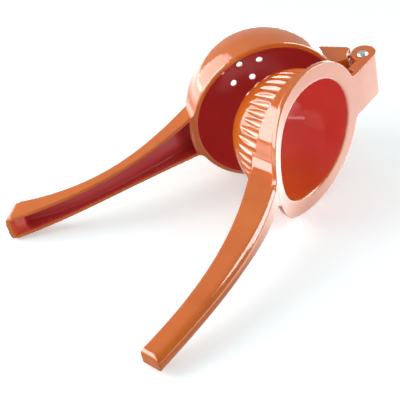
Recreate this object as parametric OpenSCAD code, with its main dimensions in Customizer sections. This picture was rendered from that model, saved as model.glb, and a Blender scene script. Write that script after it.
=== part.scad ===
// Hinged lemon squeezer: a perforated bowl on a channel handle and a fluted press cup on a slim
// handle, joined by one hinge pin. It lies open on its side, on the two rims and the handle ends.
// +Z is up and the table is z = 0. The origin is on the table, in the middle of the footprint.
// Each arm is drawn in its own frame and then laid down: X runs from the hinge to the handle end,
// Z along the pin, and Y from the closed bowl out through the press cup's open side.

/* [Whole] */
// part to draw
// angle between the arms as drawn, in degrees
open_angle = 33; // [20:1:60]
// facets of round shapes
smooth = 96; // [48:8:160]

/* [Bowl] */
// distance from the pin to the middle of the bowl
bowl_dist = 58.7; // [56:0.1:61]
// inner radius of the bowl
bowl_r = 40; // [38:0.1:42]
// thickness of the bowl's wall
bowl_wall = 2.8; // [2:0.1:3.5]
// thickness of the bowl's bottom
bowl_bottom = 1.5; // [1.2:0.1:2]
// radius of the rim's outer edge
rim_edge_r = 1.2; // [0.4:0.1:2]
// height of the bowl's rim over the pin
rim_y = 4.4; // [3:0.1:6]
// depth of the bowl's straight wall under the rim
bowl_straight = 8.2; // [4:0.1:12]
// diameter of a drain hole
drain_d = 3.6; // [3:0.1:6]
// spacing of the drain holes
drain_pitch = 11.7; // [9:0.1:14]

/* [Bowl handle] */
// distance from the pin to the front of the handle's end
channel_end_x = 211.3; // [200:0.1:220]
// amount the end leans back from its front edge
channel_end_lean = 8; // [0:0.5:12]
// half the handle's width where it meets the bowl
channel_root_half = 17.5; // [15:0.1:20]
// half the handle's width at its waist
channel_waist_half = 6.7; // [6:0.1:9]
// half the handle's width at its end
channel_end_half = 7.2; // [6:0.1:10]
// thickness of the channel's side walls
channel_wall = 1.9; // [1.5:0.1:2.4]
// thickness of the channel's floor
channel_floor = 2; // [1.5:0.1:3]
// thickness of the channel's end wall
channel_end_wall = 2.4; // [1.5:0.1:4]
// depth of the flat pad at the channel's end under its front edge
channel_pad_depth = 3.6; // [2.5:0.1:6]
// thickness of the rim between the bowl and the channel
channel_start_wall = 4.8; // [3:0.1:6]

/* [Press cup] */
// distance from the pin to the middle of the press cup
cup_dist = 59.9; // [58:0.1:62]
// outer radius of the press cup
cup_r = 35.2; // [33:0.1:36.5]
// thickness of the press cup's wall
cup_wall = 2.4; // [2:0.1:4]
// height of the cup's round bottom's centre over the pin
cup_centre_y = -1.5; // [-4:0.1:1]
// height where the flutes end and the smooth collar begins
flute_top_y = -3.2; // [-5:0.1:-1]
// number of flutes
flutes = 44; // [32:2:48]
// radius of a flute's round at the collar
flute_tool_r = 3.4; // [2:0.1:3.6]
// depth of a flute at the collar
flute_depth = 0.8; // [0.4:0.1:1.2]
// height over which a flute runs out
flute_drop = 15; // [8:0.5:16]
// radius of the flange
flange_r = 42.1; // [41:0.1:44]
// thickness of the flange
flange_t = 2.8; // [2:0.1:4]

/* [Press handle] */
// distance from the pin to the end of the handle
grip_end_x = 217.4; // [205:0.1:225]
// half the handle's width where it leaves the flange
grip_root_half = 6.8; // [5.5:0.1:8]
// half the handle's width at its end
grip_end_half = 5.2; // [4:0.1:5.4]
// radius of the corners at the handle's end
grip_tip_r = 3; // [1:0.1:3.5]

/* [Hinge] */
// height of the hinge block
hinge_h = 26.8; // [22:0.1:30]
// radius of an ear
ear_r = 6.9; // [6.5:0.1:7.5]
// thickness of an ear
ear_t = 4.6; // [3.5:0.1:6]
// distance of the pin from the middle of an ear
ear_offset = 1.2; // [0.5:0.1:1.5]
// radius of the tongue's end
tongue_r = 4.4; // [4:0.1:4.6]
// diameter of the pin
pin_d = 4; // [3:0.1:5]
// diameter of the pin's head
pin_head_d = 6; // [5:0.1:7]
// height of the pin's head
pin_head_h = 1; // [0.6:0.1:1.5]
// widest opening of the arms
widest_angle = 95; // [60:1:100]

/* [Hidden] */
$fn = smooth;
curve_steps = 24;
far = 80;
// pieces that are joined reach this far into each other
sunk = 2;
running_gap = 0.05;
side_gap = 0.3;

// the bowl handle's back and front edges seen along the pin, as control points
channel_back_x = [80, 130, 165, channel_end_x - channel_end_lean];
channel_back_y = [-19.2, 10.8, 24.7, 15.1];
channel_front_x = [bowl_dist + bowl_r + 3, 135, 175, channel_end_x];
channel_front_y = [rim_y, 17.8, 27.9, 26.9];
channel_waist_x = 160;
// the handle's side where it runs into the bowl's rim: place, half width, slope and fillet
channel_side_x = 105;
channel_side_half = 12.1;
channel_side_slope = 13;
channel_fillet = 6;
channel_pad_length = 10;
channel_pad_y = channel_front_y[3] - channel_pad_depth;
// half the handle's width seen from its open side
channel_half_x = [84, 105, 130, channel_waist_x];
channel_half_z = [channel_root_half, 12, channel_waist_half + 0.3, channel_waist_half];
channel_tip_half_x = [channel_waist_x, 175, 195, channel_end_x];
channel_tip_half_z = [channel_waist_half, channel_waist_half - 0.2, channel_end_half - 0.3, channel_end_half];

// the press arm's outer face bends up from the flange into the handle
press_flat_y = 7.2;
press_flat_start_x = 11.5;
press_bend_end = [104, 17.6];
press_bend_x = [55, 80, 88, press_bend_end[0]];
press_bend_y = [press_flat_y, press_flat_y, 9.8, press_bend_end[1]];
// the flange's plate runs on along the handle by this much
plate_run = [8, 4.3];
grip_outer_x = [press_bend_end[0], 136, 170, grip_end_x];
grip_outer_y = [press_bend_end[1], 33.3, 36.6, 37.4];
// underside of the press handle, from the cup to its end
grip_inner_x = [84, 126, 165, grip_end_x];
grip_inner_y = [-12.3, 15, 25.5, 25.7];
grip_half_x = [84, 120, 160, grip_end_x];
grip_half_z = [grip_root_half + 0.4, grip_root_half - 0.6, grip_end_half - 0.8, grip_end_half];
grip_edge_r = 1.2;
// the outer corners of the handle are small at the flange and grow to a half round
grip_corner_r = 2;
grip_corner_x = 100;
grip_corner_growth = 0.06;
grip_corner_share = 0.92;
// fillets where the handle leaves the cup and the flange
grip_root_slope = 4;
cup_fillet = 9;
flange_fillet = 4;
flute_point_r = 0.2;
flute_facets = 12;
// the ridge of the handle lies this much under the flange's face, so the two faces don't graze
grip_drop = 0.2;
grip_rings = 28;
grip_corner_steps = 6;
grip_edge_steps = 3;
// the rounded corners reach this much out of the handle's sides, so that they cross them
grip_tip_step = 0.05;

// hinge
hinge_half = hinge_h / 2;
slot_half = hinge_half - ear_t;
tongue_half = slot_half - side_gap;
slot_gap = 0.4;
slot_r = tongue_r + slot_gap;
// the slot's flat sides lie this much inside its round end, so that they cross it
slot_step = 0.05;
tongue_dir = -35;
tongue_length = 14;
ear_y = -0.2;
ear_top_y = ear_y + ear_r;
stem_end_x = 14.5;
stem_y = 0.2;
block_fillet = 3;
// the block behind the tongue, hollowed round the ears' swing
lug_shoulder_r = ear_r + ear_offset + slot_gap;
lug_top_y = -0.3;
lug_foot_y = -19;
lug_chin = [[3.8, -8.2], [5, -10.7], [17.1, lug_foot_y]];
// the far end of the pin is a little smaller than its head
pin_tail_d = pin_head_d - 0.4;
pin_tail_h = 0.8 * pin_head_h;

bowl_outer_r = bowl_r + bowl_wall;
bowl_centre_y = rim_y - bowl_straight;
// the inside's round is set deeper than the outside's, so that the wall thins towards the bottom
bowl_room_y = bowl_centre_y + bowl_bottom - bowl_wall;

// the arms lie on the lowest points of the two rims and on the lower corner of the bowl's handle
function unit(v) = v / norm(v);
function turn(p, a) = [p[0] * cos(a) - p[1] * sin(a), p[0] * sin(a) + p[1] * cos(a), p[2]];
function foot(up, dist, r, y) =
    [dist - r * up[0] / norm([up[0], up[2]]), y, -r * up[2] / norm([up[0], up[2]])];
function bowl_foot(up) =
    foot(up, bowl_dist, bowl_outer_r - rim_edge_r, rim_y - rim_edge_r) - rim_edge_r * up;
function press_foot(up) =
    turn(foot(turn(up, -open_angle), cup_dist, flange_r, press_flat_y - flange_t), open_angle);
bowl_tip = [channel_end_x, channel_front_y[3], -channel_end_half];
press_tip = turn([grip_end_x, grip_inner_y[3] + grip_edge_r, -grip_end_half], open_angle);
function settle(up, rounds) = rounds == 0
    ? up
    : settle(unit(cross(bowl_tip - bowl_foot(up), press_foot(up) - bowl_foot(up))), rounds - 1);
up = settle([-0.2, -0.1, 1], 6);
lean_y = atan2(up[0], up[2]);
lean_x = atan2(-up[1], norm([up[0], up[2]]));
lift = -min(up * bowl_tip, up * press_tip, up * bowl_foot(up), up * press_foot(up));

// a point of the bowl arm once it lies on the table, with the pin's middle above x = y = 0
function laid(p) =
    let (
        across = -p[0] * cos(lean_y) + p[2] * sin(lean_y),
        high = p[0] * sin(lean_y) + p[2] * cos(lean_y)
    )
    [across, -p[1] * cos(lean_x) - high * sin(lean_x), -p[1] * sin(lean_x) + high * cos(lean_x) + lift];

// the footprint's four sides: bowl handle's end, hinge, press handle's end, bowl
low_x = laid([channel_end_x, channel_front_y[3], channel_end_half])[0];
high_x = laid(turn([-ear_offset, ear_y, -hinge_half], open_angle))[0] + ear_r;
low_y = laid(turn([grip_end_x, grip_outer_y[3] - grip_drop, 0], open_angle))[1];
high_y = laid([bowl_dist, bowl_centre_y, 0])[1] + bowl_outer_r;
shift = [-(low_x + high_x) / 2, -(low_y + high_y) / 2, lift];

// point at t on the curve with control points xs, ys
function bezier(xs, ys, t) =
    let (k = [pow(1 - t, 3), 3 * t * pow(1 - t, 2), 3 * t * t * (1 - t), t * t * t])
    [k * xs, k * ys];
function curve(xs, ys) = [for (i = [0:curve_steps]) bezier(xs, ys, i / curve_steps)];
function reversed(list) = [for (i = [len(list) - 1:-1:0]) list[i]];
function shifted(list, by) = [for (p = list) p + by];
function flipped(list) = [for (p = list) [p[0], -p[1]]];

// lays an arm's frame on the table
module lie_down(angle) {
    translate(shift)
        rotate([lean_x, 0, 0])
            rotate([0, lean_y, 0])
                rotate([0, 0, 180 + angle])
                    children();
}

// an outline seen along the pin, given thickness along the pin
module side(half) {
    translate([0, 0, -half])
        linear_extrude(2 * half)
            children();
}

// an outline seen from the open side, given depth along Y
module plan(y0, y1) {
    translate([0, y1, 0])
        rotate([90, 0, 0])
            linear_extrude(y1 - y0)
                children();
}

// a turned shape about the axis of the bowl or cup, drawn with radius across and Y upwards
module turned(dist) {
    translate([dist, 0, 0])
        rotate([-90, 0, 0])
            rotate_extrude()
                children();
}

// fillets on both sides between a rim of radius r and a handle side of slope a that is half_w from the
// middle at x0
module rim_fillets(dist, r, x0, half_w, a, fillet_r) {
    along = [cos(a), -sin(a)];
    out = [sin(a), cos(a)];
    base = [x0 - dist, half_w] + fillet_r * out;
    // distance along the side at which the fillet's centre is one fillet radius away from the rim
    b = base * along;
    s = -b + sqrt(b * b - base * base + pow(r + fillet_r, 2));
    centre = [dist, 0] + base + s * along;
    on_rim = [dist, 0] + unit(centre - [dist, 0]) * r;
    on_side = centre - fillet_r * out;
    for (flip = [0, 1])
        mirror([0, flip])
            difference() {
                polygon([
                    centre,
                    on_rim,
                    [on_rim[0] - sunk, on_side[1] - sunk],
                    [on_side[0], on_side[1] - sunk],
                    on_side
                ]);
                translate(centre)
                    circle(fillet_r);
            }
}

// ---- bowl arm ----

// inside of the bowl, open at the top
module bowl_room(top) {
    turned(bowl_dist) {
        intersection() {
            union() {
                translate([0, bowl_room_y])
                    circle(bowl_r);
                translate([0, bowl_room_y])
                    square([bowl_r, top - bowl_room_y]);
            }
            translate([0, -far])
                square([far, 2 * far]);
        }
    }
}

module bowl_outside() {
    turned(bowl_dist) {
        intersection() {
            union() {
                translate([0, bowl_centre_y])
                    circle(bowl_outer_r);
                translate([0, bowl_centre_y])
                    square([bowl_outer_r, bowl_straight - rim_edge_r]);
                translate([0, bowl_centre_y])
                    square([bowl_outer_r - rim_edge_r, bowl_straight]);
                translate([bowl_outer_r - rim_edge_r, rim_y - rim_edge_r])
                    circle(rim_edge_r);
            }
            translate([0, -far])
                square([far, far + rim_y]);
        }
    }
}

module channel_outside() {
    intersection() {
        side(far)
            polygon(concat(
                [[bowl_dist, rim_y]],
                curve(channel_front_x, channel_front_y),
                reversed(curve(channel_back_x, channel_back_y)),
                [[bowl_dist, channel_back_y[0]]]
            ));
        plan(-far, far) {
            polygon(concat(
                curve(channel_half_x, channel_half_z),
                curve(channel_tip_half_x, channel_tip_half_z),
                reversed(flipped(curve(channel_tip_half_x, channel_tip_half_z))),
                reversed(flipped(curve(channel_half_x, channel_half_z)))
            ));
            rim_fillets(
                bowl_dist, bowl_outer_r, channel_side_x, channel_side_half, channel_side_slope, channel_fillet
            );
        }
    }
}

module channel_room() {
    end_front = [channel_end_x - channel_end_wall, channel_front_y[3]];
    end_slant = [channel_end_lean, channel_front_y[3] - channel_back_y[3]];
    end_face = [end_front - 5 * end_slant, end_front + 4 * end_slant];
    back = shifted(curve(channel_back_x, channel_back_y), [0, channel_floor]);
    half = concat(curve(channel_half_x, channel_half_z), curve(channel_tip_half_x, channel_tip_half_z));
    difference() {
        intersection() {
            side(far)
                difference() {
                    intersection() {
                        polygon(concat([[channel_back_x[0], far]], back, [[channel_end_x + far, far]]));
                        polygon(concat(end_face, [[0, far], [0, -far]]));
                    }
                    translate([channel_end_x - channel_pad_length, channel_pad_y - far])
                        square([far, far]);
                }
            plan(-far, far)
                polygon(concat(
                    shifted(half, [0, -channel_wall]),
                    reversed(flipped(shifted(half, [0, -channel_wall])))
                ));
        }
        translate([bowl_dist, 0, 0])
            rotate([90, 0, 0])
                cylinder(h = 2 * far, r = bowl_r + channel_start_wall, center = true);
    }
}

// block that joins the bowl to the tongue
module lug() {
    lug_end_x = bowl_dist - bowl_r + 3 * sunk;
    difference() {
        side(hinge_half)
            polygon(concat(
                lug_chin,
                [[lug_end_x, lug_foot_y], [lug_end_x, lug_top_y], [lug_chin[1][0], lug_top_y]]
            ));
        cylinder(h = 3 * hinge_half, r = lug_shoulder_r, center = true);
    }
    side(tongue_half) {
        circle(tongue_r);
        rotate(tongue_dir)
            translate([0, -tongue_r])
                square([tongue_length, 2 * tongue_r]);
    }
}

// a hexagon of holes about a middle one
module drain_holes() {
    translate([bowl_dist, 0, 0])
        rotate([90, 0, 0]) {
            cylinder(h = far, d = drain_d);
            for (a = [0:60:300])
                rotate([0, 0, a])
                    translate([drain_pitch, 0, 0])
                        cylinder(h = far, d = drain_d);
        }
}

module bowl_arm() {
    color([0.85, 0.46, 0.22])
        lie_down(0)
            difference() {
                union() {
                    bowl_outside();
                    channel_outside();
                    lug();
                }
                bowl_room(far);
                channel_room();
                drain_holes();
                cylinder(h = 3 * tongue_half, d = pin_d + 2 * running_gap, center = true);
            }
}

// ---- press arm ----

press_flange = concat(
    [[press_flat_start_x, press_flat_y]],
    curve(press_bend_x, press_bend_y),
    [press_bend_end + plate_run]
);

// one ring of the handle: underside with small round edges, flat sides, rounded outer side
function grip_ring(t) =
    let (
        low = bezier(grip_inner_x, grip_inner_y, t),
        x = low[0],
        high = outer_at(x) - grip_drop,
        w = half_at(x),
        r = grip_edge_r,
        c = min(grip_corner_share * w, grip_corner_r + grip_corner_growth * max(0, x - grip_corner_x))
    )
    concat(
        [for (i = [0:grip_edge_steps])
            let (a = 90 * i / grip_edge_steps)
            [x, low[1] + r - r * cos(a), w - r + r * sin(a)]],
        [for (i = [0:grip_corner_steps])
            let (a = 90 * i / grip_corner_steps)
            [x, high - c + c * sin(a), w - c + c * cos(a)]],
        [for (i = [grip_corner_steps:-1:0])
            let (a = 90 * i / grip_corner_steps)
            [x, high - c + c * sin(a), -(w - c + c * cos(a))]],
        [for (i = [grip_edge_steps:-1:0])
            let (a = 90 * i / grip_edge_steps)
            [x, low[1] + r - r * cos(a), -(w - r + r * sin(a))]]
    );

// value at x of a curve given as points
function along(points, x, i = 0) =
    i >= len(points) - 2 || x < points[i + 1][0]
    ? let (step = points[i + 1] - points[i]) points[i][1] + step[1] * (x - points[i][0]) / step[0]
    : along(points, x, i + 1);
function outer_at(x) = along(grip_top, x);
function half_at(x) = along(grip_half, x);
grip_top = concat(
    [for (i = [0:curve_steps - 1]) bezier(press_bend_x, press_bend_y, i / curve_steps)],
    curve(grip_outer_x, grip_outer_y)
);
grip_half = curve(grip_half_x, grip_half_z);

// the handle in rings, with the corners of its end rounded off
module grip() {
    rings = [for (i = [0:grip_rings]) grip_ring(i / grip_rings)];
    n = len(rings[0]);
    tip_half = grip_end_half + grip_tip_step;
    tip_x = grip_end_x - grip_tip_step;
    intersection() {
        polyhedron(
            [for (ring = rings) each ring],
            concat(
                [[for (j = [n - 1:-1:0]) j]],
                [for (i = [0:grip_rings - 1], j = [0:n - 1])
                    let (k = (j + 1) % n)
                    [i * n + j, i * n + k, (i + 1) * n + k, (i + 1) * n + j]],
                [[for (j = [0:n - 1]) grip_rings * n + j]]
            )
        );
        plan(-far, far) {
            translate([0, -far])
                square([tip_x - grip_tip_r, 2 * far]);
            translate([0, grip_tip_r - tip_half])
                square([tip_x, 2 * (tip_half - grip_tip_r)]);
            for (z = [grip_tip_r - tip_half, tip_half - grip_tip_r])
                translate([tip_x - grip_tip_r, z])
                    circle(grip_tip_r);
        }
    }
}

// fillets between the cup's collar and the sides of the handle
module grip_root() {
    under = [for (i = [0:curve_steps / 2]) bezier(grip_inner_x, grip_inner_y, i / curve_steps)];
    over = shifted(press_flange, [0, -2 * grip_drop]);
    intersection() {
        side(far)
            polygon(concat(shifted(under, [0, grip_edge_r]), reversed(over)));
        plan(-far, far)
            rim_fillets(cup_dist, cup_r, cup_dist + flange_r, grip_root_half, grip_root_slope, cup_fillet);
    }
}

module flange() {
    intersection() {
        side(far)
            polygon(concat(press_flange, reversed(shifted(press_flange, [0, -flange_t]))));
        plan(-far, far) {
            translate([cup_dist, 0])
                circle(flange_r);
            rim_fillets(
                cup_dist, flange_r, cup_dist + flange_r + sunk, grip_root_half, grip_root_slope, flange_fillet
            );
            translate([2 * cup_dist, 0])
                mirror([1, 0])
                    rim_fillets(cup_dist, flange_r, 2 * cup_dist, hinge_half, 0, block_fillet);
        }
    }
}

module cup_outside() {
    intersection() {
        turned(cup_dist) {
            intersection() {
                union() {
                    translate([0, cup_centre_y])
                        circle(cup_r);
                    translate([0, cup_centre_y])
                        square([cup_r, far]);
                }
                translate([0, -far])
                    square([far, 2 * far]);
            }
        }
        side(far)
            polygon(concat(press_flange, [[cup_dist + far, -far], [press_flat_start_x, -far]]));
    }
}

module cup_room() {
    turned(cup_dist)
        intersection() {
            union() {
                translate([0, cup_centre_y])
                    circle(cup_r - cup_wall);
                translate([0, cup_centre_y])
                    square([cup_r - cup_wall, far]);
            }
            translate([0, -far])
                square([far, 2 * far]);
        }
}

function cup_radius_at(y) = sqrt(cup_r * cup_r - pow(y - cup_centre_y, 2));

// flat-sided grooves that start wide at the collar and run out to a point on the round of the cup
module flute_cuts() {
    start = [cup_radius_at(flute_top_y) - flute_depth, flute_top_y];
    stop = [cup_radius_at(flute_top_y - flute_drop), flute_top_y - flute_drop];
    slant = atan2(start[0] - stop[0], start[1] - stop[1]);
    reach = norm(start - stop);
    spread = atan2(flute_tool_r - flute_point_r, reach);
    for (i = [0:flutes - 1])
        translate([cup_dist, 0, 0])
            rotate([0, (i + 0.5) * 360 / flutes, 0])
                translate([start[0], start[1], 0])
                    rotate([0, 0, -slant - spread])
                        translate([flute_tool_r, 0, 0])
                            rotate([90, 0, 0])
                                cylinder(h = reach, r1 = flute_tool_r, r2 = flute_point_r, $fn = flute_facets);
}

// forked block: two ears joined by an outer wall, with a slot for the tongue
module fork() {
    // the neck ends inside the cup's wall
    neck_end_x = cup_dist - cup_r + cup_wall / 2;
    difference() {
        side(hinge_half) {
            translate([-ear_offset, ear_y])
                circle(ear_r);
            polygon([
                [-ear_offset, ear_top_y],
                [press_flat_start_x, press_flat_y],
                [neck_end_x, press_flat_y],
                [neck_end_x, press_flat_y - flange_t],
                [stem_end_x, press_flat_y - flange_t],
                [stem_end_x, stem_y],
                [-ear_offset, stem_y]
            ]);
        }
        side(slot_half) {
            circle(slot_r);
            rotate(tongue_dir)
                translate([0, -far])
                    square([far, far + slot_r - slot_step]);
            rotate(tongue_dir - widest_angle)
                translate([0, slot_step - slot_r])
                    square([far, far + slot_r]);
        }
        cylinder(h = 2 * hinge_h, d = pin_d, center = true);
    }
}

module press_arm() {
    color([0.85, 0.46, 0.22])
        lie_down(open_angle) {
            difference() {
                union() {
                    flange();
                    difference() {
                        cup_outside();
                        flute_cuts();
                    }
                    grip();
                    grip_root();
                }
                cup_room();
            }
            fork();
        }
}

// ---- pin ----

// a shallow round head of diameter d and height h
module pin_head(d, h) {
    round_r = (d * d / 4 + h * h) / (2 * h);
    intersection() {
        translate([0, 0, h - round_r])
            sphere(round_r);
        cylinder(h = h, d = d);
    }
}

module hinge_pin() {
    color([0.72, 0.74, 0.77])
        lie_down(open_angle) {
            cylinder(h = hinge_h, d = pin_d, center = true);
            translate([0, 0, hinge_half])
                pin_head(pin_head_d, pin_head_h);
            translate([0, 0, -hinge_half])
                mirror([0, 0, 1])
                    pin_head(pin_tail_d, pin_tail_h);
        }
}

bowl_arm();
press_arm();
hinge_pin();
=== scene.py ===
import math

import bpy
import numpy as np
from mathutils import Euler, Matrix, Vector


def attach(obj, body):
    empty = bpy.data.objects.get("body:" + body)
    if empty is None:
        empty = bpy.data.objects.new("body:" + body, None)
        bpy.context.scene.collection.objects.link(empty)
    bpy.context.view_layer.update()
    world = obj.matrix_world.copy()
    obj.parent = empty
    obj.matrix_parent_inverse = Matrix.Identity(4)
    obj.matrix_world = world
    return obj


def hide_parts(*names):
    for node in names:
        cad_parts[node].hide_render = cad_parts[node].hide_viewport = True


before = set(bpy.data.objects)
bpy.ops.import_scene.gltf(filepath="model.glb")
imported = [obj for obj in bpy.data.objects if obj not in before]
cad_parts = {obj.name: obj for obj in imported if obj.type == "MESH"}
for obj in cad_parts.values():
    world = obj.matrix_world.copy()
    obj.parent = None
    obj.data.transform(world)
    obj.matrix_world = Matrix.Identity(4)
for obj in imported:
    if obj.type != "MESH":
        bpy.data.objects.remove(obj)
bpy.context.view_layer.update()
print("packed squeezer loaded")

scene = bpy.context.scene
scene.view_settings.view_transform = "Standard"


def pickOnly(obj):
    bpy.ops.object.select_all(action="DESELECT")
    obj.select_set(True)
    bpy.context.view_layer.objects.active = obj


def applyAll(obj):
    pickOnly(obj)
    for modifier in list(obj.modifiers):
        bpy.ops.object.modifier_apply(modifier=modifier.name)


def emptyTree(owner, kind):
    # the nodes of a material or a world, with only its output in them
    owner.use_nodes = True
    tree = owner.node_tree
    tree.nodes.clear()
    return tree, tree.nodes.new(kind)


def newFinish(name):
    material = bpy.data.materials.new(name)
    tree, output = emptyTree(material, "ShaderNodeOutputMaterial")
    shader = tree.nodes.new("ShaderNodeBsdfPrincipled")
    tree.links.new(shader.outputs["BSDF"], output.inputs["Surface"])
    return material, tree, shader


def objectSpot(tree, scale=(1, 1, 1), shift=(0, 0, 0)):
    # object coordinates, scaled and then shifted
    coords = tree.nodes.new("ShaderNodeTexCoord")
    mapping = tree.nodes.new("ShaderNodeMapping")
    mapping.inputs["Location"].default_value = shift
    mapping.inputs["Scale"].default_value = scale
    tree.links.new(coords.outputs["Object"], mapping.inputs["Vector"])
    return mapping.outputs["Vector"]


def noise(tree, spot, scale, detail, rough):
    node = tree.nodes.new("ShaderNodeTexNoise")
    node.inputs["Scale"].default_value = scale
    node.inputs["Detail"].default_value = detail
    node.inputs["Roughness"].default_value = rough
    tree.links.new(spot, node.inputs["Vector"])
    return node.outputs["Fac"]


def ramp(tree, value, span, tones):
    # the first tone at the span's start, the second at its end
    node = tree.nodes.new("ShaderNodeValToRGB")
    for element, place, tone in zip(node.color_ramp.elements, span, tones):
        element.position = place
        element.color = (*tone, 1)
    tree.links.new(value, node.inputs["Fac"])
    return node.outputs["Color"]


def mapRange(tree, value, span, target, kind="LINEAR"):
    # the value's span, stretched over the target
    node = tree.nodes.new("ShaderNodeMapRange")
    node.interpolation_type = kind
    node.inputs["From Min"].default_value, node.inputs["From Max"].default_value = span
    node.inputs["To Min"].default_value, node.inputs["To Max"].default_value = target
    tree.links.new(value, node.inputs["Value"])
    return node.outputs["Result"]


def bump(tree, height, strength, distance):
    node = tree.nodes.new("ShaderNodeBump")
    node.inputs["Strength"].default_value = strength
    node.inputs["Distance"].default_value = distance
    tree.links.new(height, node.inputs["Height"])
    return node.outputs["Normal"]


enamelLook = {
    "light": (0.70, 0.165, 0.020),
    "deep": (0.63, 0.130, 0.014),
    "hollowShade": (0.93, 0.110, 0.108),   # painted shade: a deep red that stands in for the shade in the bowl and the cup
    "channel": (0.58, 0.052, 0.052),  # and a deeper painted shade in the handle's channel
    "shadeSpan": (0.5, 1.0),           # the attribute's values at the one red and at the other
    "flow": (45, 3, 0.55),            # scale, detail and roughness of the coat's broad drift
    "flowSpan": (0.3, 0.7),           # the drift's values at the deep and at the light orange
    "peel": (900, 1, 0.4),            # the same of the fine ripple left by the stoved coat
    "peelStrength": 0.12,
    "peelDepth": 0.00002,
    "gloss": (0.09, 0.34),            # roughness outside and in the cup, and in the bowl and the channel
    "glossSpan": (0.44, 0.5),         # the attribute's values between which it grows
    "ior": 1.52,
}


def enamelFinish(look):
    material, tree, shader = newFinish("orangeEnamel")
    spot = objectSpot(tree)
    flow = noise(tree, spot, *look["flow"])
    tone = ramp(tree, flow, look["flowSpan"], (look["deep"], look["light"]))
    # painted shade: orange where the attribute is 0, the shading red at the span's first value and the
    # deeper shading red at its second
    paintedShade = tree.nodes.new("ShaderNodeAttribute")
    paintedShade.attribute_name = "hollowShade"
    share = tree.nodes.new("ShaderNodeMath")
    share.operation = "MULTIPLY"
    share.use_clamp = True
    share.inputs[1].default_value = 1 / look["shadeSpan"][0]
    tree.links.new(paintedShade.outputs["Fac"], share.inputs[0])
    red = ramp(tree, paintedShade.outputs["Fac"], look["shadeSpan"], (look["hollowShade"], look["channel"]))
    blend = tree.nodes.new("ShaderNodeMix")
    blend.data_type = "RGBA"
    tree.links.new(share.outputs[0], blend.inputs["Factor"])
    tree.links.new(tone, blend.inputs["A"])
    tree.links.new(red, blend.inputs["B"])
    tree.links.new(blend.outputs["Result"], shader.inputs["Base Color"])
    peel = noise(tree, spot, *look["peel"])
    ripple = bump(tree, peel, look["peelStrength"], look["peelDepth"])
    tree.links.new(ripple, shader.inputs["Normal"])
    gloss = mapRange(tree, paintedShade.outputs["Fac"], look["glossSpan"], look["gloss"])
    tree.links.new(gloss, shader.inputs["Roughness"])
    shader.inputs["IOR"].default_value = look["ior"]
    return material


steelLook = {
    "light": (0.52, 0.53, 0.57),
    "dark": (0.34, 0.35, 0.39),
    "stain": (700, 3, 0.6),           # scale, detail and roughness of the dull patches
    "stainSpan": (0.35, 0.65),        # their values at the dark and at the light grey
    "grainScale": (6000, 6000, 400),  # makes marks that are long on the rivet's own Z
    "grain": (1, 2, 0.6),
    "grainStrength": 0.25,
    "grainDepth": 0.00003,
    "gloss": 0.28,
}


def steelFinish(look):
    material, tree, shader = newFinish("pinSteel")
    spot = objectSpot(tree)
    stain = noise(tree, spot, *look["stain"])
    tone = ramp(tree, stain, look["stainSpan"], (look["dark"], look["light"]))
    tree.links.new(tone, shader.inputs["Base Color"])
    grain = noise(tree, objectSpot(tree, scale=look["grainScale"]), *look["grain"])
    marks = bump(tree, grain, look["grainStrength"], look["grainDepth"])
    tree.links.new(marks, shader.inputs["Normal"])
    shader.inputs["Metallic"].default_value = 1.0
    shader.inputs["Roughness"].default_value = look["gloss"]
    return material


enamel = enamelFinish(enamelLook)
steel = steelFinish(steelLook)
print("finishes mixed")


# each arm has a frame of its own, with the pin as its Z and its handle along X
hingeLook = {
    "at": (0.0984773, 0.0490329, 0.0558134),  # the pin's middle
    "lean": (5.12986, -12.7408),              # how far the pin leans, about the table's X and Y
    "bowl": 180,                              # how far each arm is turned on the pin
    "press": 213,
}


def rotation(degrees, axis):
    return Matrix.Rotation(math.radians(degrees), 3, axis)


def armPoints(arm, body, look):
    # the arm's vertices in its own frame, in millimetres
    spots = np.empty(len(arm.data.vertices) * 3)
    arm.data.vertices.foreach_get("co", spots)
    lean = rotation(look["lean"][0], "X") @ rotation(look["lean"][1], "Y")
    turn = np.array(lean @ rotation(look[body], "Z"))
    return (spots.reshape(-1, 3) - np.array(Vector(look["at"]))) @ turn * 1000


def curve(control, count=40):
    # points along the curve that four control points give
    t = np.linspace(0, 1, count)[:, None]
    a, b, c, d = [np.array(point, float) for point in control]
    return (1 - t) ** 3 * a + 3 * t * (1 - t) ** 2 * b + 3 * t * t * (1 - t) * c + t ** 3 * d


def ease(value, low, high):
    # 0 up to the low value, 1 from the high one on, and a smooth rise between them
    t = np.clip((value - low) / (high - low), 0, 1)
    return t * t * (3 - 2 * t)


# millimetres in the arm's own frame; a reach or fade holds the two values that ease runs between
bowlLook = {
    "axis": 58.7,               # how far the bowl's middle is from the pin
    "insideRadius": 40,
    "insideCentre": -5.1,
    "slack": 0.6,               # the smoothed wall may lie this far outside the radius
    "rim": 4.4,
    "rimFade": (0.1, 0.9),      # depth below the rim
    # share of the painted shade's red in the bowl
    "red": 0.6,
    "wall": 1.9,
    "front": [(101.7, 4.4), (135, 17.8), (175, 27.9), (211.3, 26.9)],    # the handle's side view
    "back": [(80, -17.2), (130, 12.8), (165, 26.7), (203.3, 17.1)],
    "half": [(84, 17.5), (105, 12), (130, 7), (160, 6.7)],               # half of its width
    "endHalf": [(160, 6.7), (175, 6.5), (195, 6.9), (211.3, 7.2)],
    "corner": [(211.3, 26.9, 7.2), (203.3, 15.1, 7.2)],                  # where its end slants
    "cornerReach": (1.6, 3.2),
    "channelStart": 4.4,        # outside the inside radius
    "channelSlack": 0.5,        # the smoothed channel may lie this far in its walls
    "channelFade": (0.2, 1.2),  # depth below the handle's front
    "padReach": (199.5, 202.5),
    "padShade": 0.3,              # the channel's painted shade is thinner on the pad at its end
}


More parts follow.
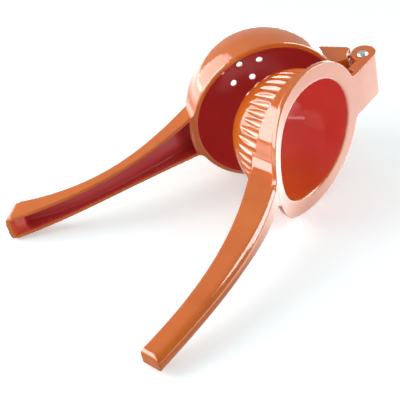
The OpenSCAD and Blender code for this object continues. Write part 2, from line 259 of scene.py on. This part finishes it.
def bowlPaintedShade(spots, look):
    # painted shade: the bowl's share of red inside it, 1 inside the handle's channel and 0 outside
    x, y, z = spots.T
    across = np.hypot(x - look["axis"], z)
    reach = np.hypot(across, np.minimum(y - look["insideCentre"], 0))
    bowl = (reach < look["insideRadius"] + look["slack"]) * ease(look["rim"] - y, *look["rimFade"])
    half = np.concatenate([curve(look["half"]), curve(look["endHalf"])])
    front = curve(look["front"])
    back = curve(look["back"])
    side = np.interp(x, half[:, 0], half[:, 1]) - look["wall"]
    top = np.interp(x, front[:, 0], front[:, 1])
    bottom = np.interp(x, back[:, 0], back[:, 1])
    # the end slants from the first corner to the second, with a wall's thickness inside it
    start, stop = look["corner"]
    end = start[0] + (y - start[1]) * (start[0] - stop[0]) / (start[1] - stop[1])
    inside = (x > front[0, 0]) & (x < end - look["wall"] / 2)
    inside = inside & (across > look["insideRadius"] + look["channelStart"])
    inside = inside * (abs(z) < side + look["channelSlack"]) * (y > bottom - look["channelSlack"])
    channel = inside * ease(top - y, *look["channelFade"])
    channel = channel * (1 - (1 - look["padShade"]) * ease(x, *look["padReach"]))
    return np.maximum(bowl * look["red"], channel)


def bowlCorners(spots, look):
    # how much each vertex belongs to the two outer edges of the handle's end
    start, stop = [np.array(point) for point in look["corner"]]
    level = spots * (1, 1, 0) + abs(spots[:, 2:]) * (0, 0, 1)
    along = stop - start
    t = np.clip((level - start) @ along / (along @ along), 0, 1)[:, None]
    return 1 - ease(np.linalg.norm(level - start - t * along, axis=1), *look["cornerReach"])


pressLook = {
    "axis": 59.9,               # how far the cup's middle is from the pin
    "insideRadius": 32.8,
    "insideCentre": -1.5,
    "slack": 0.6,
    "flat": 7.2,                # height of the flange's face
    "flatFade": (-0.5, 1.6),    # depth below that face
    "red": (0.85, 0.15),        # painted shade: how red the cup is at its top, and at the lowest part of its wall, which is painted lighter
    "down": (0.6, -0.8),        # the way across the cup that runs down on the table, in X and Z
    "downReach": (4, 33),
    "lipReach": (1.6, 3.4),     # distance from the inside radius
    "lipDepth": (5, 2.5),       # depth below the flange's face
}


def pressPaintedShade(spots, look):
    # 0 outside the press cup, and a share of the painted shade's deep red inside it, less of it towards
    # the lowest part of the wall
    x, y, z = spots.T
    across = np.hypot(x - look["axis"], z)
    reach = np.hypot(across, np.minimum(y - look["insideCentre"], 0))
    low = ease(look["down"][0] * (x - look["axis"]) + look["down"][1] * z, *look["downReach"])
    red = look["red"][0] + (look["red"][1] - look["red"][0]) * low
    cup = (reach < look["insideRadius"] + look["slack"]) * ease(look["flat"] - y, *look["flatFade"])
    return cup * red / 2


def pressLip(spots, look):
    # how much each vertex belongs to the edge of the cup's opening
    x, y, z = spots.T
    across = np.hypot(x - look["axis"], z) - look["insideRadius"]
    deep, shallow = look["lipDepth"]
    edge = 1 - ease(abs(across), *look["lipReach"])
    return edge * ease(y, look["flat"] - deep, look["flat"] - shallow)


castLook = {
    "weld": 0.000001,     # vertices closer than this are one
    "voxel": 0.00035,     # size of the cells that the casting is rebuilt from
    "softening": 4,       # rounds of smoothing that round its edges
    "rounding": 90,       # more rounds, only at the edges that are rounder
    "pull": 0.5,          # how far one round moves a vertex to the middle of its neighbours
    "leastShare": 0.01,   # vertices with less than this aren't rounded more
    "triangles": 190000,
}


def soften(arm, rounds, look, share=None):
    # smooths the whole arm, or only the share of it that is given for each vertex
    modifier = arm.modifiers.new("soften", "SMOOTH")
    modifier.factor = look["pull"]
    modifier.iterations = rounds
    if share is not None:
        group = arm.vertex_groups.new(name="soft")
        for index in np.flatnonzero(share > look["leastShare"]):
            group.add([int(index)], float(share[index]), "REPLACE")
        modifier.vertex_group = group.name
    applyAll(arm)


def castArm(node, name, body, look, rounding, hollowShade):
    # the arm as it comes from the mould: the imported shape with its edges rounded
    pickOnly(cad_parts[node])
    bpy.ops.object.duplicate(linked=False)
    arm = bpy.context.active_object
    for key in list(arm.keys()):
        del arm[key]
    arm.parent = None
    arm.name = name
    arm.data.name = name
    pickOnly(arm)
    bpy.ops.object.mode_set(mode="EDIT")
    bpy.ops.mesh.select_all(action="SELECT")
    bpy.ops.mesh.remove_doubles(threshold=look["weld"])
    bpy.ops.object.mode_set(mode="OBJECT")
    remesh = arm.modifiers.new("mould", "REMESH")
    remesh.mode = "VOXEL"
    remesh.voxel_size = look["voxel"]
    remesh.adaptivity = 0
    remesh.use_smooth_shade = True
    applyAll(arm)
    soften(arm, look["softening"], look)
    soften(arm, look["rounding"], look, rounding(armPoints(arm, body, hingeLook)))
    arm.vertex_groups.clear()
    count = sum(len(face.vertices) - 2 for face in arm.data.polygons)
    if count > look["triangles"]:
        thin = arm.modifiers.new("thin", "DECIMATE")
        thin.ratio = look["triangles"] / count
        applyAll(arm)
    pickOnly(arm)
    bpy.ops.object.shade_smooth()
    # painted shade: each vertex's share of the red that stands in for the shade in the hollows
    paintedShade = arm.data.attributes.new("hollowShade", "FLOAT", "POINT")
    paintedShade.data.foreach_set("value", hollowShade(armPoints(arm, body, hingeLook)).astype(float))
    arm.data.materials.clear()
    arm.data.materials.append(enamel)
    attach(arm, body)
    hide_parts(node)
    print(name, "cast with", len(arm.data.polygons), "faces from", count)


castArm(
    "bowl_arm", "bowlArm", "bowl", castLook,
    lambda spots: bowlCorners(spots, bowlLook), lambda spots: bowlPaintedShade(spots, bowlLook)
)
castArm(
    "press_arm", "pressArm", "press", castLook,
    lambda spots: pressLip(spots, pressLook), lambda spots: pressPaintedShade(spots, pressLook)
)


pinLook = {
    "smoothAngle": 40,    # edges sharper than this stay sharp
}
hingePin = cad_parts["hinge_pin"]
hingePin.data.materials.clear()
hingePin.data.materials.append(steel)
pickOnly(hingePin)
bpy.ops.object.shade_smooth_by_angle(angle=math.radians(pinLook["smoothAngle"]))
print("pin finished")


stageLook = {
    "tableSize": 6.0,
    "drop": 0.0002,                # how far the table lies under the lowest point
    "tableTone": (0.76, 0.88, 0.90),
    "glow": 0.37,                  # what the camera sees on top of the lit table
    "shade": (0.04, 0.02),         # shifts the shade that reflections show under the squeezer
    "shadeReach": (0.05, 0.15),    # it runs out this far to the sides, and farther to front and back
    "shadeLength": 0.3,
    "mirrorGlow": (0.5, 4.3),      # the table in reflections, in that shade and out of it
    "surroundings": 0.46,          # how strongly the room lights what stands in it
    "mirrored": (0.25, 0.80),      # the room in reflections, towards the front and the back
    "mirroredSpan": (-0.4, 0.3),   # the directions' Y between which it changes
}


def whenRay(tree, kinds):
    # a value for each kind of ray, added up from the light path's outputs
    path = tree.nodes.new("ShaderNodeLightPath")
    total = None
    for kind, amount in kinds.items():
        part = tree.nodes.new("ShaderNodeMath")
        part.operation = "MULTIPLY_ADD"
        if isinstance(amount, float):
            part.inputs[1].default_value = amount
        else:
            tree.links.new(amount, part.inputs[1])
        part.inputs[2].default_value = 0
        tree.links.new(path.outputs[kind], part.inputs[0])
        if total is not None:
            tree.links.new(total, part.inputs[2])
        total = part.outputs[0]
    return total


def buildTable(look):
    bpy.ops.mesh.primitive_plane_add(size=look["tableSize"], location=(0, 0, -look["drop"]))
    table = bpy.context.active_object
    table.name = "table"
    material = bpy.data.materials.new("paleTable")
    tree, output = emptyTree(material, "ShaderNodeOutputMaterial")
    matte = tree.nodes.new("ShaderNodeBsdfDiffuse")
    matte.inputs["Color"].default_value = (*look["tableTone"], 1)
    glow = tree.nodes.new("ShaderNodeEmission")
    glow.inputs["Color"].default_value = (1, 1, 1, 1)
    reach = tree.nodes.new("ShaderNodeVectorMath")
    reach.operation = "LENGTH"
    spot = objectSpot(tree, scale=(1, look["shadeLength"], 1), shift=(*look["shade"], 0))
    tree.links.new(spot, reach.inputs[0])
    shade = mapRange(tree, reach.outputs["Value"], look["shadeReach"], look["mirrorGlow"], "SMOOTHSTEP")
    tree.links.new(whenRay(tree, {"Is Camera Ray": look["glow"]}), glow.inputs["Strength"])
    lit = tree.nodes.new("ShaderNodeAddShader")
    tree.links.new(matte.outputs[0], lit.inputs[0])
    tree.links.new(glow.outputs[0], lit.inputs[1])
    mirror = tree.nodes.new("ShaderNodeEmission")
    tree.links.new(shade, mirror.inputs["Strength"])
    both = tree.nodes.new("ShaderNodeMixShader")
    tree.links.new(whenRay(tree, {"Is Glossy Ray": 1.0}), both.inputs["Fac"])
    tree.links.new(lit.outputs[0], both.inputs[1])
    tree.links.new(mirror.outputs[0], both.inputs[2])
    tree.links.new(both.outputs[0], output.inputs["Surface"])
    table.data.materials.append(material)


def lightRoom(look):
    world = bpy.data.worlds.new("studio")
    scene.world = world
    tree, output = emptyTree(world, "ShaderNodeOutputWorld")
    back = tree.nodes.new("ShaderNodeBackground")
    coords = tree.nodes.new("ShaderNodeTexCoord")
    split = tree.nodes.new("ShaderNodeSeparateXYZ")
    tree.links.new(coords.outputs["Generated"], split.inputs["Vector"])
    mirrored = mapRange(tree, split.outputs["Y"], look["mirroredSpan"], look["mirrored"])
    seen = whenRay(tree, {
        "Is Camera Ray": 1.0,
        "Is Glossy Ray": mirrored,
        "Is Transmission Ray": 1.0,
        "Is Diffuse Ray": look["surroundings"],
    })
    back.inputs["Color"].default_value = (1, 1, 1, 1)
    tree.links.new(seen, back.inputs["Strength"])
    tree.links.new(back.outputs[0], output.inputs["Surface"])


# place, size and power of each soft lamp; a card is only seen in reflections, a lamp never is
lampAim = (0, 0, 0.03)
lamps = {
    "leftLamp": {"at": (-0.76, 0.10, 0.48), "size": (0.6, 0.6), "watts": 5.6, "card": False},
    "frontLamp": {"at": (0.76, -0.22, 0.42), "size": (0.6, 0.6), "watts": 2.6, "card": False},
    "leftCard": {"at": (-0.79, 0.07, 0.45), "size": (1.26, 0.76), "watts": 36, "card": True},
    "backCard": {"at": (-0.60, 0.67, 0.20), "size": (0.57, 1.0), "watts": 8, "card": True},
    "rightCard": {"at": (0.74, 0.08, 0.52), "size": (0.70, 0.80), "watts": 23, "card": True},
}


def hangLamps(lamps, target):
    for name, lamp in lamps.items():
        bpy.ops.object.light_add(type="AREA", location=lamp["at"])
        light = bpy.context.active_object
        light.name = name
        light.data.shape = "RECTANGLE"
        light.data.size, light.data.size_y = lamp["size"]
        light.data.energy = lamp["watts"]
        light.visible_diffuse = not lamp["card"]
        light.visible_glossy = lamp["card"]
        light.visible_camera = False
        aim = Vector(target) - Vector(lamp["at"])
        light.rotation_euler = aim.to_track_quat("-Z", "Y").to_euler()


cameraLook = {
    "at": (-0.15122, -0.455355, 0.346641),
    "turn": (55.9281, -0.0276, -17.0074),
    "lens": 101.294,
    "sensor": 36,
    "nearest": 0.01,
}


def setCamera(look):
    turn = Euler([math.radians(degrees) for degrees in look["turn"]], "XYZ")
    bpy.ops.object.camera_add(location=look["at"], rotation=turn)
    camera = bpy.context.active_object
    camera.data.sensor_width = look["sensor"]
    camera.data.lens = look["lens"]
    camera.data.clip_start = look["nearest"]
    scene.camera = camera


buildTable(stageLook)
lightRoom(stageLook)
hangLamps(lamps, lampAim)
setCamera(cameraLook)
print("table, lamps and camera placed")
